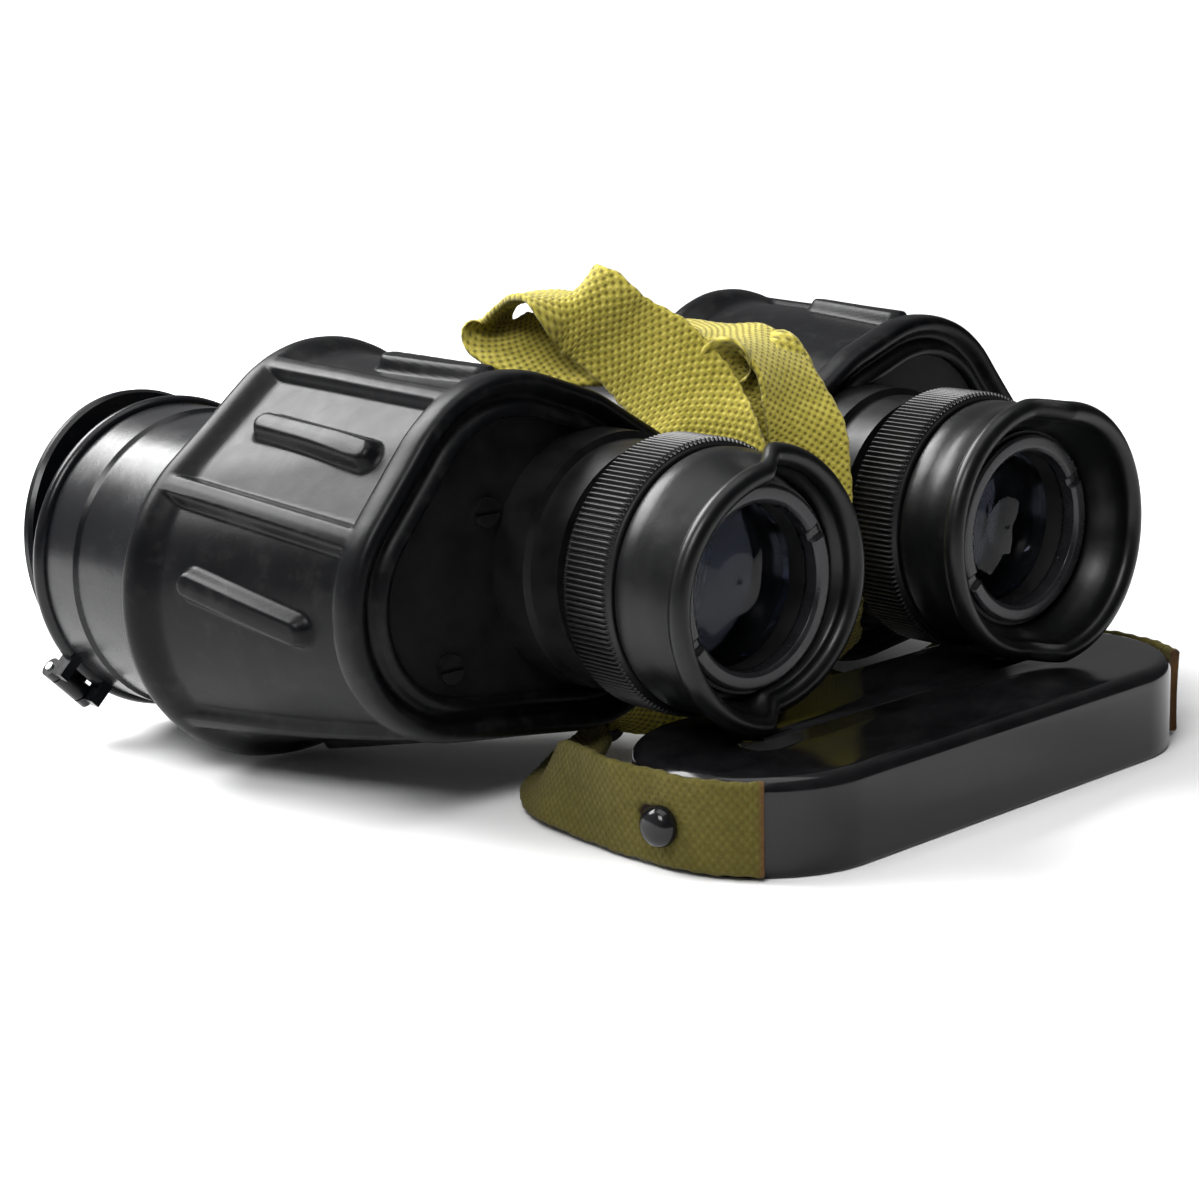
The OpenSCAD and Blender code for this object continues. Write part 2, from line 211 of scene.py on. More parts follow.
def glass(name, tint, rough=0.0, ior=1.24):
    m = Mat(name)
    m.set(Base_Color=(*tint, 1), Transmission_Weight=1.0, IOR=ior, Roughness=rough)
    f = m.noise(30, 2)
    m.rough(m.ramp(f, [(0.4, 0.0), (0.8, 0.03)]))
    return m.material


FINISH["lens"] = glass("lens_glass", (0.50, 0.56, 0.74))
# painted shade: the prisms are tinted almost black, not clear, so that the inside of the barrels stays dark
FINISH["prism"] = glass("prism_glass", (0.010, 0.012, 0.018))

# ---------------------------------------------------------------- mesh helpers
SIDES = {"left": -1, "right": 1}
AXIS_X = 32.5                     # half the eye spacing
OBJ_W, OBJ_Z = 28.0, -6.8         # objective axis from the eyepiece axis

def grid_faces(rows, cols, wrap_rows=False, wrap_cols=True):
    r = np.arange(rows if wrap_rows else rows - 1)
    c = np.arange(cols if wrap_cols else cols - 1)
    R, C = np.meshgrid(r, c, indexing="ij")
    R2, C2 = (R + 1) % rows, (C + 1) % cols
    return np.stack([R * cols + C, R * cols + C2, R2 * cols + C2, R2 * cols + C], -1).reshape(-1, 4)

def solid(name, pts, faces, mat, body, nodes=(), uv=None, smooth=True, merge=None):
    """a closed mesh in the row frame from design millimetres"""
    co = row_points(np.asarray(pts, float).reshape(-1, 3))
    polygons = [tuple(int(i) for i in f) for f in faces]
    tri = np.array([(f[0], f[k], f[k + 1]) for f in polygons for k in range(1, len(f) - 1)])
    a, b, c = co[tri[:, 0]], co[tri[:, 1]], co[tri[:, 2]]
    if np.einsum("ij,ij->i", a, np.cross(b, c)).sum() < 0:
        polygons = [f[::-1] for f in polygons]
    me = bpy.data.meshes.new(name)
    me.from_pydata(co.tolist(), [], polygons)
    if uv is not None:
        lay = me.uv_layers.new(name="uv")
        idx = np.empty(len(me.loops), dtype=np.int32)
        me.loops.foreach_get("vertex_index", idx)
        lay.data.foreach_set("uv", np.asarray(uv, np.float32).reshape(-1, 2)[idx].ravel())
    if merge:
        bm = bmesh.new()
        bm.from_mesh(me)
        bmesh.ops.remove_doubles(bm, verts=bm.verts, dist=merge / 1000)
        bm.to_mesh(me)
        bm.free()
    me.validate()
    me.update()
    if smooth:
        me.polygons.foreach_set("use_smooth", np.ones(len(me.polygons), bool))
    o = bpy.data.objects.new(name, me)
    bpy.context.scene.collection.objects.link(o)
    me.materials.append(mat)
    if body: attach(o, body)
    if nodes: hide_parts(*nodes)
    return o

def rounded(corners, steps=4):
    """closed outline with filleted corners from (r, y, fillet)"""
    out = []
    n = len(corners)
    P3 = [np.array(c[:2], float) for c in corners]
    for i, c in enumerate(corners):
        p, a, b = P3[i], P3[i - 1], P3[(i + 1) % n]
        f = c[2] if len(c) > 2 else 0
        if f <= 0:
            out.append(p)
            continue
        la, lb = np.linalg.norm(a - p), np.linalg.norm(b - p)
        pa, pb = p + (a - p) * min(f / la, .48), p + (b - p) * min(f / lb, .48)
        for k in range(steps + 1):
            t = k / steps
            out.append((1 - t) ** 2 * pa + 2 * t * (1 - t) * p + t * t * pb)
    return np.array(out)

def split_long(out, longest):
    res = []
    for i in range(len(out)):
        a, b = out[i], out[(i + 1) % len(out)]
        n = max(1, int(np.linalg.norm(b - a) / longest))
        res += [a + (b - a) * k / n for k in range(n)]
    return np.array(res)

def lathe(profile, s, seg=128, w=0.0, z=0.0, radial=None):
    """closed (r, y) outline turned about a line at (w, z)"""
    pr = np.asarray(profile, float)
    phi = np.arange(seg) * 2 * math.pi / seg
    R = np.repeat(pr[:, :1], seg, 1)
    Y = np.repeat(pr[:, 1:2], seg, 1)
    if radial is not None:
        R, Y = radial(R, Y, phi)
    X = s * (AXIS_X + w + R * np.cos(phi))
    Z = z + R * np.sin(phi)
    return np.stack([X, Y, Z], -1), grid_faces(len(pr), seg, True, True)

def ease(t):
    t = np.clip(t, 0, 1)
    return t * t * (3 - 2 * t)

def wobble(p, size, amount):
    p = np.asarray(p) / size
    v = (np.sin(p[..., 0] * 1.7 + 1.3 * np.sin(p[..., 1] * 1.1)) + np.sin(p[...,
            1] * 1.3 + 1.7 * np.sin(p[..., 2] * .9 + 1))
         + np.sin(p[..., 2] * 1.5 + 1.1 * np.sin(p[..., 0] * 1.2 + 2)))
    return amount * v / 3

# ---------------------------------------------------------------- rubber armour
REAR_Y, FRONT_Y = 37.3, 92.5
# outlines of the rear and front ends as circles (w, z, r), w outward from the eyepiece axis
# (w, z, radius) circles round each outline; a scratch fit to the photo's edges printed these numbers
REAR_OUT = [(26.9, -3.1, 23.2), (16.7, 8.4, 23.9), (6, 9.6, 19.1), (0.3, -2.8, 26.8)]
FRONT_OUT = [(28, -7.8, 31.4), (16.8, 8.7, 25.6), (0, 0, 23)]
PANEL = 2.1                       # how far the panels lie below the rims

def support(circles, ang):
    c = np.array(circles, float)
    h = c[:, 0, None] * np.cos(ang) + c[:, 1, None] * np.sin(ang) + c[:, 2, None]
    i = h.argmax(0)
    p = np.stack([c[i, 0] + c[i, 2] * np.cos(ang), c[i, 1] + c[i, 2] * np.sin(ang)], -1)
    return p, i

def matched(a, b, count):
    """points of both outlines that share a normal, evenly spaced"""
    ang = np.linspace(0, 2 * math.pi, 4001)
    pa, ia = support(a, ang)
    pb, ib = support(b, ang)
    A, B, T = [], [], []
    for k in range(len(ang) - 1):
        n = 40 if ia[k] != ia[k + 1] or ib[k] != ib[k + 1] else 1
        for j in range(n):
            t = j / n
            A.append(pa[k] * (1 - t) + pa[k + 1] * t)
            B.append(pb[k] * (1 - t) + pb[k + 1] * t)
            T.append(ang[k] * (1 - t) + ang[k + 1] * t)
    A, B, T = np.array(A), np.array(B), np.array(T)
    step = np.linalg.norm(np.roll(A, -1, 0) - A, axis=1) + np.linalg.norm(np.roll(B, -1, 0) - B, axis=1)
    L = np.concatenate([[0], np.cumsum(step)])
    q = np.arange(count) * L[-1] / count
    ring = lambda v: np.concatenate([v, v[:1]])
    at = lambda v: np.interp(q, L, ring(v))
    T2 = np.concatenate([T, [2 * math.pi]])
    th = np.interp(q, L, T2)
    return np.stack([at(A[:, 0]), at(A[:, 1])], -1), np.stack([at(B[:, 0]), at(B[:, 1])],
            -1), np.stack([np.cos(th), np.sin(th)], -1)

# raised ribs and pads as (start, end, half width, height), points are (w, y, z)
RIBS = [((27.5, 37, 29.7), (27.5, 92, 30.2), 2.7, 2.0), ((45, 37, 7.6), (49.8, 92, 12.6), 2.7, 2.0),
        ((32.8, 37, -25.2), (51, 92, -28.5), 2.6, 1.7), ((-8, 37, -27), (-6, 92, -21.5), 2.6, 1.7),
        ((36.5, 50, 19.4), (37.8, 77, 22.5), 2.9, 2.5), ((50.5, 52, -6.5), (54.8, 76, -2), 2.9, 2.5),
        ((17, 45, 31.8), (19.5, 66, 33.5), 2.9, 2.5), ((26, 50, -31), (27, 76, -35.5), 2.9, 1.9),
        ((-8, 50, 20.8), (-7.4, 80, 20.4), 2.8, 2.2)]
# lips and rims as (y, depth below the outline), from the inner edge outward
RIM_REAR = [(41, 7.6), (38.6, 7.4), (37.6, 6.9), (37.3, 6.2), (37.5, 5.6), (38.3, 4.9), (39, 4.5),
            (39.1, 4.0), (38.9, 3.5),
            (38.2, 2.9), (37.5, 2.3), (37.25, 1.7), (37.3, 1.1), (37.6, .5), (38.2, .15), (39, 0),
            (40, -.05), (41, 0), (41.9, .1),
            (42.6, .3), (43.0, .6), (43.3, 1.0), (43.5, 1.5), (43.9, 1.95), (44.5, PANEL)]


RIM_FRONT = [(84.2, PANEL), (85, 1.9), (85.8, 1.55), (86.6, 1.1), (87.4, .65), (88.2, .3), (89, .1),
             (90, 0), (90.9, .15),
             (91.6, .5), (92.1, 1.0), (92.4, 1.7), (92.5, 2.6), (92.4, 3.6), (92.0, 4.8)]

def armour(name):
    s = SIDES[name]
    A, B, N = matched(REAR_OUT, FRONT_OUT, 620)
    body = [(y, PANEL) for y in np.arange(45.0, 84.0, 0.5)]
    prof = RIM_REAR + body + RIM_FRONT
    rows = []
    base3 = lambda y: A * (1 - (y - REAR_Y) / (FRONT_Y - REAR_Y)) + B * ((y - REAR_Y)
            / (FRONT_Y - REAR_Y))
    for n, (y, d) in enumerate(prof):
        p2 = base3(y)
        depth = np.full(len(p2), d, float)
        if len(RIM_REAR) - 8 <= n < len(prof) - 9:
            q = np.stack([p2[:, 0], np.full(len(p2), y), p2[:, 1]], -1)
            N3 = np.stack([N[:, 0], np.zeros(len(N)), N[:, 1]], -1)
            high = np.zeros(len(p2))
            for a, b, half, h in RIBS:
                a, b = np.array(a, float), np.array(b, float)
                t = np.clip(((q - a) @ (b - a)) / ((b - a) @ (b - a)), 0, 1)
                v = q - (a + t[:, None] * (b - a))
                v -= np.sum(v * N3, 1)[:, None] * N3 * (np.abs(np.sum(v * N3, 1)) < 9)[:, None]
                dist = np.linalg.norm(v, axis=1)
                bell = (.9 * ease((half * 1.12 - dist) / (half * .62)) + .1 * np.clip(1 - dist / half, 0,
                        1))
                high = np.maximum(high, h * bell * (dist < half * 1.3))
            depth = np.minimum(depth, PANEL - high)
        depth = depth - wobble(np.stack([p2[:, 0], np.full(len(p2), y), p2[:, 1]], -1), 6, .09)
        p2 = p2 - N * depth[:, None]
        rows.append(np.stack([p2[:, 0], np.full(len(p2), y), p2[:, 1]], -1))
    c = np.array([OBJ_W, OBJ_Z])
    v = B - c
    u = v / np.linalg.norm(v, axis=1)[:, None]
    last = rows[-1]
    for t, y, r in ((.5, 91.7, 27.0), (1, 91.6, 26.4), (1, 90.6, 26.0), (1, 88.5, 26.0)):
        ring = c + u * r
        p = last[:, [0, 2]] * (1 - t) + ring * t
        rows.append(np.stack([p[:, 0], np.full(len(p), y), p[:, 1]], -1))
    for y, d in ((86.5, 5.6), (80, 5.4), (60, 5.4), (46, 5.4), (42.6, 6.4)):
        p = base3(y) - N * d
        rows.append(np.stack([p[:, 0], np.full(len(p), y), p[:, 1]], -1))
    V = np.array(rows)
    V[..., 0] = s * (AXIS_X + V[..., 0])
    solid("armour_skin_" + name, V, grid_faces(V.shape[0], V.shape[1], True, True), FINISH["armour"],
          name + "_barrel", ["armour_" + name])

# ---------------------------------------------------------------- turned parts
GRIP_RIBS = 150


def focus_ring(name):
    s = SIDES[name]
    prof = rounded([(16.25, 3), (18.4, 3, .2), (18.4, 10.1, .2), (21.3, 10.1, .3), (21.75, 10.6, .2),
                    (22.55, 11.0, .3), (22.55, 19.9, .4),
                    (22.0, 20.5, .2), (18.05, 20.5), (18.05, 13.4), (16.25, 13.4)])
    prof = split_long(prof, 1.2)
    def knurl(R, Y, phi):
        t = (phi * GRIP_RIBS / (2 * math.pi)) % 1.0
        groove = ease(np.clip((np.abs(t - .5) - .17) / .16, 0, 1))
        zone = ease((R - 21.8) / .5) * ease((Y - 10.55) / .5)
        return R - groove * zone * .62, Y
    V, F = lathe(prof, s, GRIP_RIBS * 8, radial=knurl)
    solid("grip_ring_" + name, V, F, FINISH["ring"], name + "_focus",
          ["focus_ring_" + name])

# eyecup lip: (major radius, nasal y, temporal y, drop of the temporal half)
LIP = {"left": (20.3, -1.5, -4.3, 1.1), "right": (21.2, -2.4, -6.8, 0.3)}


def eyecup(name):
    s = SIDES[name]
    R0, yn, yt, dz = LIP[name]
    seg = 360
    phi = np.arange(seg) * 2 * math.pi / seg
    side_ = np.cos(phi)
    k = ease((side_ + .13) / .26)
    yc = yn + (yt - yn) * k + .25 * np.sin(phi * 3 + 1)
    Rl = R0 + .15 * np.sin(phi * 2 + .6)
    minor = 1.75
    cols = []
    for i in range(seg):
        R, y = Rl[i], yc[i]
        pts = [(18.5, 9.8), (20.7, 9.8), (21.05, 9.6), (21.3, 9.1), (21.35, 8.2), (21.35, 7), (21.2, 5.9),
               (20.9, 4.7)]
        a, b = np.array([20.9, 4.7]), np.array([R - 1.25, y + 1.75])
        for t in (.2, .4, .6, .8, .93):
            bow = .35 * math.sin(math.pi * t)
            pts.append((a[0] + (b[0] - a[0]) * t + bow, a[1] + (b[1] - a[1]) * t))
        for deg in np.linspace(128, -195, 26):
            q = math.radians(deg)
            pts.append((R + minor * math.cos(q), y + minor * math.sin(q)))
        a, b = np.array(pts[-1]), np.array([17.0, .9])
        for t in (.25, .5, .75, 1):
            pts.append((a[0] + (b[0] - a[0]) * ease(t), a[1] + (b[1] - a[1]) * t))
        pts += [(17.3, 1.9), (18.5, 2.9), (18.5, 6)]
        cols.append(pts)
    C = np.array(cols)
    fade = ease((6 - C[..., 1]) / 6)
    X = s * (AXIS_X + C[..., 0] * np.cos(phi)[:, None])
    Z = C[..., 0] * np.sin(phi)[:, None] + fade * (dz * (1 - 2 * k))[:, None]
    V = np.stack([X, C[..., 1], Z], -1).transpose(1, 0, 2)
    solid("cup_" + name, V, grid_faces(V.shape[0], seg, True, True), FINISH["eyecup"], name + "_focus",
          ["eyecup_" + name])

def ocular_ring(name):
    s = SIDES[name]
    prof = split_long(rounded([(13.45, -.1, .1), (14.1, -.55, .2), (15.9, -.6, .25), (16.35, -.2, .1),
                               (16.35, .5), (14.5, .5), (14.5, 2.4), (13.45, 2.4)]), .5)
    def notch(R, Y, phi):
        d = np.minimum(*[np.abs((phi - a + math.pi) % (2 * math.pi) - math.pi) for a in NOTCH[name]])
        cut = ease((.075 - d) / .02)
        return R, Y + cut * .75 * (Y < .1)
    V, F = lathe(prof, s, 320, radial=notch)
    solid("retainer_" + name, V, F, FINISH["anod"], name + "_ocular",
          ["ocular_ring_" + name])


NOTCH = {"left": (math.radians(152), math.radians(-28)), "right": (math.radians(28), math.radians(208))}


# ---------------------------------------------------------------- rain guard
GUARD_X, GUARD_Y, GUARD_TURN = 2.7, -1.9, math.radians(3)
GUARD_R, GUARD_HALF, GUARD_H = 20.7, 37.8, 15.7   # end radius, half the straight run, height
GUARD_WALL, GUARD_FILLET = 1.8, 2.4


def guard_point(x, y, z):
    """guard frame, z above the table, to design millimetres"""
    c, d = math.cos(GUARD_TURN), math.sin(GUARD_TURN)
    return (GUARD_X + c * x - d * y, GUARD_Y + d * x + c * y, z - AXIS_HEIGHT)

def rain_guard():
    prof = [(.5, 0), (.1, .25), (0, .7)] + [(0, z) for z in np.arange(2, GUARD_H - 2.6, 2)]
    prof += [(GUARD_FILLET * (1 - math.cos(a)),
              GUARD_H - GUARD_FILLET * (1 - math.sin(a))) for a in np.linspace(0, math.pi / 2, 9)]
    prof += [(d, GUARD_H) for d in (4, 7, 11, 15, GUARD_R - .02)]
    prof += [(d, GUARD_H - GUARD_WALL) for d in (GUARD_R - .02, 15, 8, 4)]
    prof += [(GUARD_WALL, GUARD_H - 2 * GUARD_WALL), (GUARD_WALL, 8), (GUARD_WALL, .3), (1.5, 0)]
    n = 96
    ang = np.concatenate([np.linspace(-math.pi / 2, math.pi / 2, n),
                          np.linspace(math.pi / 2, 3 * math.pi / 2, n)])
    off = np.concatenate([np.full(n, GUARD_HALF), np.full(n, -GUARD_HALF)])
    V = []
    for d, z in prof:
        r = GUARD_R - d
        V.append([guard_point(o + r * math.cos(a), r * math.sin(a), z) for a, o in zip(ang, off)])
    solid("guard_shell", np.array(V), grid_faces(len(prof), 2 * n, True, True), FINISH["guard"], "guard",
          ["rain_guard"])

def studs():
    for name, s in SIDES.items():
        prof = [(0, -1.9), (1.9, -1.9), (1.9, 1.7), (2.4, 1.9), (3.1, 2.2), (3.3, 2.8), (3.2, 3.6),
                (2.7, 4.5), (1.9, 5.0), (1.0, 5.2), (0, 5.25)]
        ang = np.arange(48) * 2 * math.pi / 48
        V = [[guard_point(s * (GUARD_HALF + GUARD_R + x), r * math.cos(a),
                          GUARD_H / 2 - .4 + r * math.sin(a)) for a in ang] for r, x in prof]
        V = np.array(V)
        solid("button_" + name, V, grid_faces(len(prof), 48, False, True), FINISH["guard"], "guard",
              ["guard_stud_" + name], merge=.001)

# ---------------------------------------------------------------- webbing
def catmull(P_, q):
    P_ = np.asarray(P_, float)
    n = len(P_)
    i = np.clip(q.astype(int), 0, n - 2)
    t = (q - i)[:, None]
    g = lambda k: P_[np.clip(k, 0, n - 1)]
    p0, p1, p2, p3 = g(i - 1), g(i), g(i + 1), g(i + 2)
    p0 = np.where((i == 0)[:, None], 2 * p1 - p2, p0)
    p3 = np.where((i == n - 2)[:, None], 2 * p2 - p1, p3)
    return .5 * (2 * p1 + (p2 - p0) * t + (2 * p0 - 5 * p1 + 4 * p2 - p3) * t * t
                 + (3 * p1 - p0 - 3 * p2 + p3) * t ** 3)

def norm(v):
    return v / np.maximum(np.linalg.norm(v, axis=-1, keepdims=True), 1e-9)

PITCH_U, PITCH_V = 0.88, 0.73     # thread spacing across and along, in mm
HALF_WEB = 7.3
RELIEF = .17                      # half the height of the threads


def ribbon(stations, thick=1.35, seed=0, slot=None):
    """stations are (edge one, edge two) pairs; returns mesh data of a woven band"""
    E1 = np.array([a for a, b in stations], float)
    E2 = np.array([b for a, b in stations], float)
    C, W = (E1 + E2) / 2, (E2 - E1) / 2
    half = np.linalg.norm(W, axis=1)[:, None]
    q = np.linspace(0, len(C) - 1, 4000)
    c = catmull(C, q)
    L = np.concatenate([[0], np.cumsum(np.linalg.norm(np.diff(c, axis=0), axis=1))])
    count = int(L[-1] / (PITCH_V / 2)) + 1
    q2 = np.interp(np.linspace(0, L[-1], count), L, q)
    c = catmull(C, q2)
    w = norm(catmull(norm(W), q2))
    hw = catmull(half, q2)[:, 0]
    tan = norm(np.gradient(c, axis=0))
    w = norm(w - np.sum(w * tan, 1)[:, None] * tan)
    nrm = np.cross(tan, w)
    dist = np.linspace(0, L[-1], count)
    nu = 45
    u = np.linspace(-1, 1, nu)
    i = np.arange(count)
    chess = np.sin(math.pi * dist / PITCH_V)[:, None] * np.sin(math.pi * u * HALF_WEB / PITCH_U)[None, :]
    relief = RELIEF * chess
    edge = np.clip((np.abs(u) - .94) / .06, 0, 1)
    t2 = thick / 2 * np.sqrt(np.clip(1 - .7 * edge ** 2, 0, 1))
    sag = .25 * np.sin(dist / 9 + seed)[:, None] * (u ** 2)[None, :] + .12 * np.sin(dist / 3.3 + seed)[:,
            None] * u[None, :]
    wav = 1 + .012 * np.sin(dist * 1.9) + .01 * np.sin(dist * .7 + seed)
    t2 = np.repeat(t2[None, :], count, 0)
    if slot:                          # buttonhole (from, to, half width) along the band
        mid, reach, half_h = (slot[0] + slot[1]) / 2, (slot[1] - slot[0]) / 2, slot[2]
        far = np.hypot(np.maximum(np.abs(dist - mid) - reach + half_h, 0)[:, None],
                       (u * HALF_WEB)[None, :]) / half_h
        open_ = ease((1.1 - far) / .25)
        t2 = t2 * (1 - .93 * open_)
        relief = relief * (1 - open_)
    pos = c[:, None, :] + w[:, None, :] * (hw * wav)[:, None, None] * u[None, :, None]
    top = pos + nrm[:, None, :] * (t2 + relief * (1 - edge) + sag)[..., None]
    bot = pos + nrm[:, None, :] * (-t2 + relief * (1 - edge) + sag)[..., None]
    V = np.concatenate([top, bot[:, ::-1]], 1)
    cols = 2 * nu
    F = grid_faces(count, cols, False, True).tolist()
    F.append(list(range(cols)))
    F.append([(count - 1) * cols + k for k in range(cols)][::-1])
    U = np.concatenate([u, u[::-1]]) * HALF_WEB
    UV = np.stack(np.broadcast_arrays(U[None, :], dist[:, None]), -1)
    return V, F, UV, L[-1]

LUG_W, LUG_Z = -8.5, -31.6


def neck_strap():
    # Nine of the plain (edge, edge) points are copied from a scratch script that back-projected the photo's
    # strap edges.
    # The others were given round those and some moved later, so they lean on that back-projection too.
    def st(c, a):
        c, a = np.array(c, float), np.array(a, float)
        return (c - a, c + a)
    lug = AXIS_X + LUG_W
    go = [st((lug + 1, 48.6, LUG_Z + .4), (1.0, 0, 1.2)), st((lug, 45.4, LUG_Z), (1.2, 0, 1.2)),
          st((lug - 1.2, 41.5, LUG_Z + .8), (2.6, .6, 2.2)),
          st((20, 34, -27), (5.6, -1.5, 3.6)), st((13.5, 28.6, -20.5), (5.6, -2.6, 3.7)),
          st((8.4, 24.6, -10), (5.4, -4.3, 2.4)), st((6.6, 23.2, -3), (4.3, -5.4, 1)),
          st((3, 32, 5), (5.6, -5.4, 0)), st((1.4, 35, 14), (6, -4.6, 0)),
          st((.6, 37.4, 22), (6.6, -3.2, 0)), st((1.4, 38.2, 28.4), (6.8, -2.6, 0)),
          st((4, 35, 30), (6.8, -2.4, 0)), st((5.6, 32.4, 24.5), (6.4, -3.4, 0)),
          st((6.2, 30.4, 14), (5.8, -4.2, 0)), st((6.9, 27.5, 4), (4.8, -4.8, 0)),
          ((3, 27.3, .8), (9.5, 19.3, .9)), ((2.2, 28.7, 7.5), (10.4, 19.6, 6.2)),
          ((1, 30.4, 17.8), (11, 21.6, 15.8)), ((0, 30.8, 22.7), (11, 25.8, 22.6)),
          ((-1, 31.2, 27.3), (10.8, 31.2, 29.2)), ((-.8, 34.2, 31.3), (10, 40.3, 33.3)),
          ((-1.2, 40, 32.7), (9, 50.2, 33.6)), ((-3.4, 46.4, 32.6), (6, 57.7, 33.6)),
          ((-8.4, 54.4, 26.4), (1.6, 62, 33.6)), ((-14, 60.2, 24.6), (-4.2, 67.2, 33.6)),
          ((-18.4, 66.2, 25.2), (-8.8, 72.4, 34.4)), ((-22.4, 73.4, 26.6), (-11.8, 77.4, 35.6)),
          ((-24, 79.6, 30.4), (-12.0, 82.0, 37.0)), ((-23.4, 78.2, 35.0), (-10.8, 79.6, 39.2)),
          ((-22.8, 73.6, 38.4), (-9.8, 72.0, 40.0)),
          ((-22.9, 69, 40.2), (-11.6, 61.8, 39.6)), ((-21.6, 66, 38.4), (-12.8, 54.8, 40.4)),
          ((-20, 64, 34.5), (-10.5, 49.7, 39.8)), ((-16.5, 60.2, 31), (-7.5, 46.7, 35.5)),
          ((-14, 56, 26.5), (-4.8, 40.8, 32)), ((-12.5, 49, 22.1), (-3, 34.5, 25.9)),
          ((-11.6, 42.6, 17.8), (-3, 29, 18.4)), ((-7.2, 38.6, 9.5), (-2.6, 25.4, 9)),
          ((-4.6, 39.5, -3), (-3, 25.8, -4)), st((-6.5, 34, -15), (-2.6, 5.8, 1.6)),
          st((-12, 37.6, -24.5), (-4.8, 4.2, 2.8)), st((-19, 41, -30), (-3.6, 1.6, 2.6)),
          st((-lug, 45.4, LUG_Z), (-1.2, 0, 1.2)), st((-lug - 1, 48.6, LUG_Z + .4), (-1.0, 0, 1.2))]
    V, F, UV, L = ribbon(go, 1.3)
    o = solid("neck_strap", V, F, FINISH["strap"], None, ["strap_bundle"], uv=UV)
    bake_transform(o)

TAIL_GAP, TAIL_THICK = .4, 1.5
TAIL_R = GUARD_R + TAIL_GAP + TAIL_THICK / 2
SLOT = (14.2, 21.6, 1.7)          # buttonhole from, to and half width, from the cut end


def tails():
    for name, s in SIDES.items():
        z0, z1 = .8, 15.4
        st = []
        for deg in (-42, -32, -22, -12, -2, 7):
            a = math.radians(deg)
            x, y = GUARD_HALF + TAIL_R * math.cos(a), TAIL_R * math.sin(a)
            st.append((guard_point(s * x, y, z0), guard_point(s * x, y, z1)))
        lean = [((59.6, 11, .8), (59.4, 11.5, 15.3)), ((58.9, 18.5, .9), (57, 20, 15.0)),
                ((58.4, 25.8, 1.3), (54.0, 27.5, 14.2)), ((57.4, 32, 1.4), (50.5, 32.6, 12.0)),
                ((53.6, 39, 1.4), (46.4, 34.5, 9.2)), ((47.8, 45.0, 1.6), (41.6, 36.4, 6.2)),
                ((40, 49.0, 2.4), (36.4, 38.6, 5.2)), ((32.5, 50.6, 4.6), (29.8, 42.2, 6.4))]
        for a, b in lean:
            st.append((guard_point(s * a[0], a[1], a[2]), guard_point(s * b[0], b[1], b[2])))
        lug = AXIS_X + LUG_W
        st.append(((s * (lug + 2.2), 47.2, LUG_Z - 1.2), (s * (lug + 1.0), 46.4, LUG_Z + .8)))
        st.append(((s * (lug - .2), 45.2, LUG_Z - .9), (s * (lug - .2), 45.2, LUG_Z + .9)))
        V, F, UV, L = ribbon(st, TAIL_THICK, 2, SLOT)
        o = solid("tail_" + name, V, F, FINISH["tail"], None, ["strap_tail_" + name], uv=UV)
        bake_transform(o)

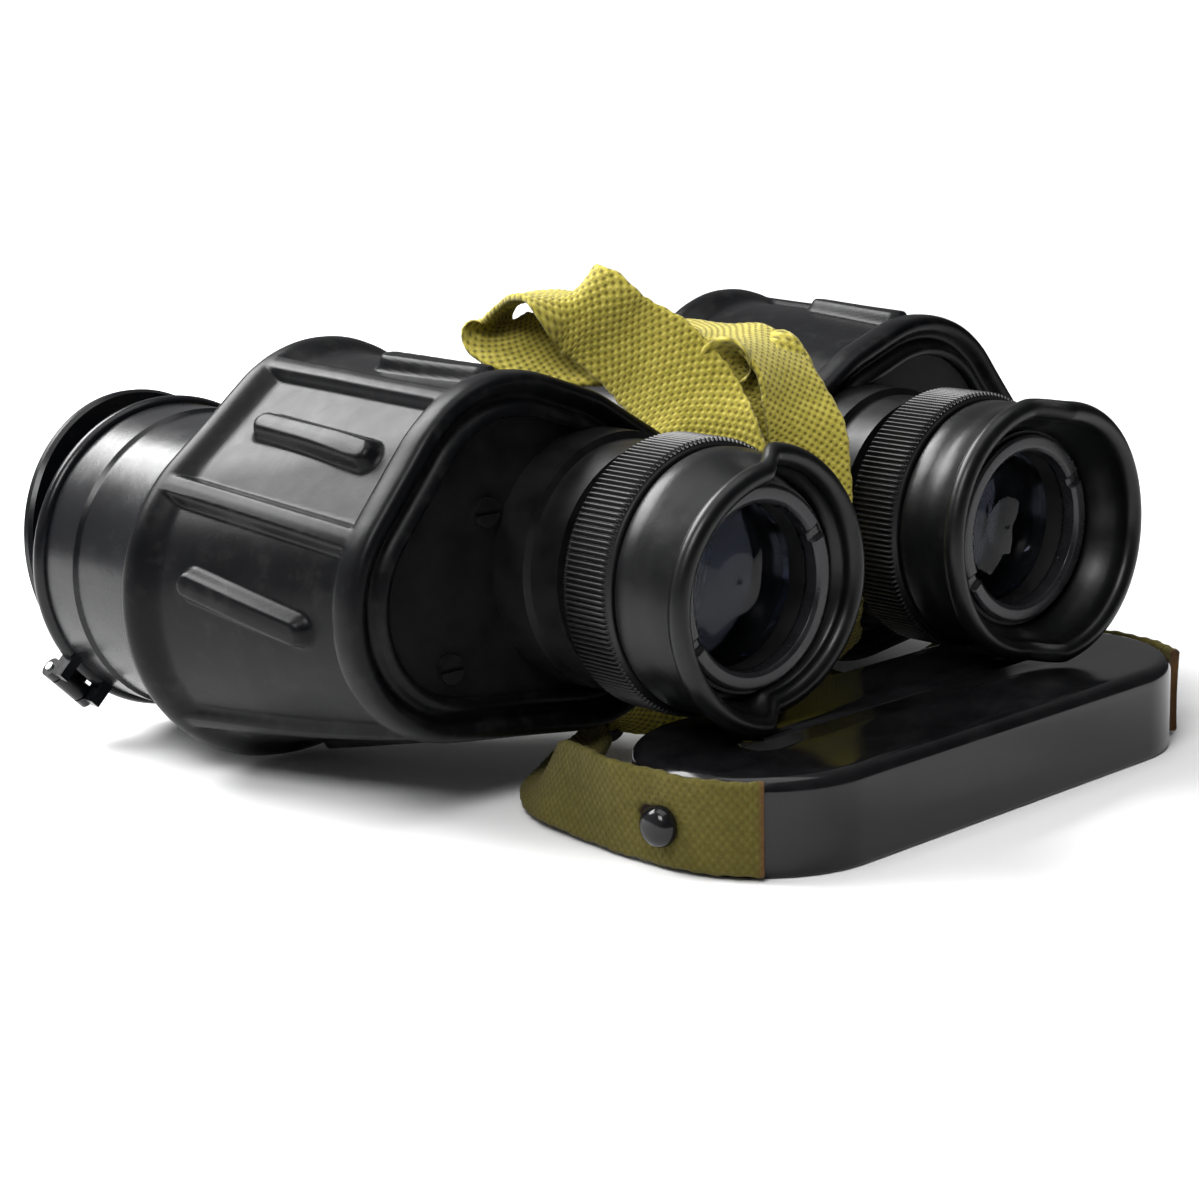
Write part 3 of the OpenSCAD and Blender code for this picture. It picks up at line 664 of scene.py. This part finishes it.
# ---------------------------------------------------------------- finishes
# shade scales the webbing's colours; a low shade gives a darker copy of the same webbing that paints shade
def webbing(name, shade):
    m = Mat(name)
    uv = m.coord.outputs["UV"]
    sep = m.node("ShaderNodeSeparateXYZ")
    m.link(uv, sep.inputs[0])
    su = m.math("SINE", m.math("MULTIPLY", sep.outputs[0], math.pi / PITCH_U))
    sv = m.math("SINE", m.math("MULTIPLY", sep.outputs[1], math.pi / PITCH_V))
    weave = m.math("MULTIPLY", su, sv)
    thread = m.math("SINE", m.math("MULTIPLY", m.math("ADD", sep.outputs[0], sep.outputs[1]), 26))
    fuzz = m.noise(5200, 3, .7)
    mid = m.noise(700, 4, .65)
    big = m.noise(70, 4, .6)
    blotch = m.ramp(m.math("ADD", m.math("MULTIPLY", mid, .5), m.math("MULTIPLY", big, .5)),
                    [(.36, 0), (.64, 1)])
    light = m.mix(blotch, [v * shade for v in (.300, .258, .024)],
                  [v * shade for v in (.480, .408, .062)])
    # painted shade: the sunken cells of the weave (low half of the relief) are darkened towards a
    # near-black brown
    col = m.mix(m.ramp(m.math("MULTIPLY_ADD", weave, .5, .5), [(.06, .76), (.24, .40), (.50, 0)]), light,
                (.070, .050, .005))
    # painted highlight: the raised cells of the weave are lightened to a pale olive, broken up by noise
    col = m.mix(m.ramp(m.math("MULTIPLY_ADD", weave, .5, m.math("MULTIPLY", mid, 1.0)),
                       [(.62, 0), (1.0, .55)]), col, [v * shade for v in (.62, .54, .13)])
    near = m.math("ADD", sep.outputs[1], m.math("MULTIPLY", m.noise(900, 3), 1.6))
    cut = m.ramp(m.math("MULTIPLY", near, 1 / 30), [(.9 / 30, .85), (1.8 / 30, 0)])
    col = m.mix(cut, col, (.085, .034, .012))
    # painted shade: the thin sheet left in the buttonhole is coloured near black to stand for the dark
    # opening
    along = m.math("SUBTRACT", m.math("ABSOLUTE",
                                      m.math("SUBTRACT", sep.outputs[1], (SLOT[0] + SLOT[1]) / 2)),
                                      (SLOT[1] - SLOT[0]) / 2 - SLOT[2])
    away = m.math("POWER", m.math("MAXIMUM", along, 0), 2)
    away = m.math("SQRT", m.math("ADD", away, m.math("POWER", m.math("ABSOLUTE", sep.outputs[0]), 2)))
    col = m.mix(m.ramp(m.math("MULTIPLY", away, 1 / 3), [(SLOT[2] * .85 / 3, 1), (SLOT[2] * 1.1 / 3, 0)]),
                col, (.012, .004, .003))
    col = m.mix(m.ramp(fuzz, [(.62, 0), (.85, .45)]), col, [v * shade for v in (.50, .46, .20)])
    m.base(col)
    m.rough(m.ramp(fuzz, [(.3, .78), (.7, .95)]))
    h = m.math("ADD", m.math("MULTIPLY", m.math("ABSOLUTE", weave), .7),
               m.math("ADD", m.math("MULTIPLY", thread, .12), m.math("MULTIPLY", fuzz, .3)))
    m.normal(m.bump(h, .8, .00022))
    m.set(Specular_IOR_Level=.25, Sheen_Weight=.2 * shade, Sheen_Roughness=.5)
    return m.material


# the tails use a much darker copy of the webbing (shade .20 against 1.12 for the neck strap): painted shade
# on the tails
FINISH["strap"] = webbing("webbing_olive", 1.12)
FINISH["tail"] = webbing("webbing_painted_shade", .20)
FINISH["guard"] = metal_paint("guard_plastic", (0.0040, 0.0040, 0.0046), 0.10, 0.20, 0.03, 0.0, 0.30)

for s in ("left", "right"):
    put("housing_" + s, FINISH["inner"])
    put("rear_plate_" + s, FINISH["plate"])
    put("plate_screws_" + s, FINISH["base"])
    put("eyepiece_base_" + s, FINISH["base"])
    put("ocular_tube_" + s, FINISH["inner"])
    put("field_lens_" + s, FINISH["lens"])
    put("eye_lens_" + s, FINISH["lens"])
    put("objective_lens_" + s, FINISH["lens"])
    put("objective_tube_" + s, FINISH["inner"])
    put("objective_ring_" + s, FINISH["anod"])
    put("cap_pin_" + s, FINISH["steel"])
    put("prism_rear_" + s, FINISH["prism"])
    put("prism_front_" + s, FINISH["prism"])
    put("prism_shelf_" + s, FINISH["alu"])
    put("strap_lug_" + s, FINISH["base"])
    put("objective_sleeve_" + s, FINISH["sleeve"])
    put("objective_cap_" + s, FINISH["sleeve"])
    for o in ("ocular_ring_", "armour_", "focus_ring_", "eyecup_"):
        put(o + s, FINISH["base"])


put("hinge_arms_left", FINISH["base"])
put("hinge_arm_right", FINISH["base"])
put("hinge_pin", FINISH["steel"])
put("hinge_cap_rear", FINISH["base"])
put("hinge_cap_front", FINISH["base"])

for s in SIDES:
    armour(s)
    focus_ring(s)
    eyecup(s)
    ocular_ring(s)


rain_guard()
studs()
neck_strap()
tails()

# ---------------------------------------------------------------- stage
def make_stage():
    bm = bmesh.new()
    bmesh.ops.create_circle(bm, cap_ends=True, segments=128, radius=0.8)
    me = bpy.data.meshes.new("floor")
    bm.to_mesh(me)
    bm.free()
    o = bpy.data.objects.new("floor", me)
    bpy.context.scene.collection.objects.link(o)
    m = Mat("floor_white")
    m.rough(m.ramp(m.noise(6, 3), [(.3, .55), (.7, .7)]))
    m.base(m.mix(m.noise(3, 2), (.86, .86, .86), (.9, .9, .9)))
    o.data.materials.append(m.material)
    w = bpy.data.worlds.new("world")
    bpy.context.scene.world = w
    w.use_nodes = True
    t = w.node_tree
    bg = t.nodes["Background"]
    tc = t.nodes.new("ShaderNodeTexCoord")
    dot = t.nodes.new("ShaderNodeVectorMath")
    dot.operation = "DOT_PRODUCT"
    t.links.new(tc.outputs["Generated"], dot.inputs[0])
    dot.inputs[1].default_value = (-.35, .62, .70)
    rmp = t.nodes.new("ShaderNodeValToRGB")
    rmp.color_ramp.elements[0].position = .40
    rmp.color_ramp.elements[0].color = (.035, .035, .037, 1)
    rmp.color_ramp.elements[1].position = .98
    rmp.color_ramp.elements[1].color = (.45, .45, .46, 1)
    half = t.nodes.new("ShaderNodeMath")
    half.operation = "MULTIPLY_ADD"
    half.inputs[1].default_value = .5
    half.inputs[2].default_value = .5
    t.links.new(dot.outputs["Value"], half.inputs[0])
    t.links.new(half.outputs[0], rmp.inputs[0])
    lp = t.nodes.new("ShaderNodeLightPath")
    mx = t.nodes.new("ShaderNodeMix")
    mx.data_type = "RGBA"
    t.links.new(lp.outputs["Is Camera Ray"], mx.inputs[0])
    t.links.new(rmp.outputs[0], mx.inputs[6])
    mx.inputs[7].default_value = (1.2, 1.2, 1.2, 1)
    t.links.new(mx.outputs[2], bg.inputs[0])
    bg.inputs[1].default_value = 1.0
    def area(name, loc, target, size, power):
        l = bpy.data.lights.new(name, "AREA")
        l.shape = "RECTANGLE"
        l.size, l.size_y = size
        l.energy = power
        ob = bpy.data.objects.new(name, l)
        ob.location = loc
        ob.rotation_euler = (Vector(target) - Vector(loc)).to_track_quat("-Z", "Y").to_euler()
        bpy.context.scene.collection.objects.link(ob)
    area("back", (-0.30, 0.78, 0.84), (0, 0, 0.02), (0.9, 0.55), 29)
    area("top", (-0.05, -0.10, 1.25), (0, -0.1, 0), (0.9, 0.9), 6.0)
    area("fill", (-0.55, -0.30, 0.62), (-0.01, 0.0, 0.06), (0.3, 0.3), 4.2)


make_stage()
vs = bpy.context.scene.view_settings
vs.view_transform = "Standard"
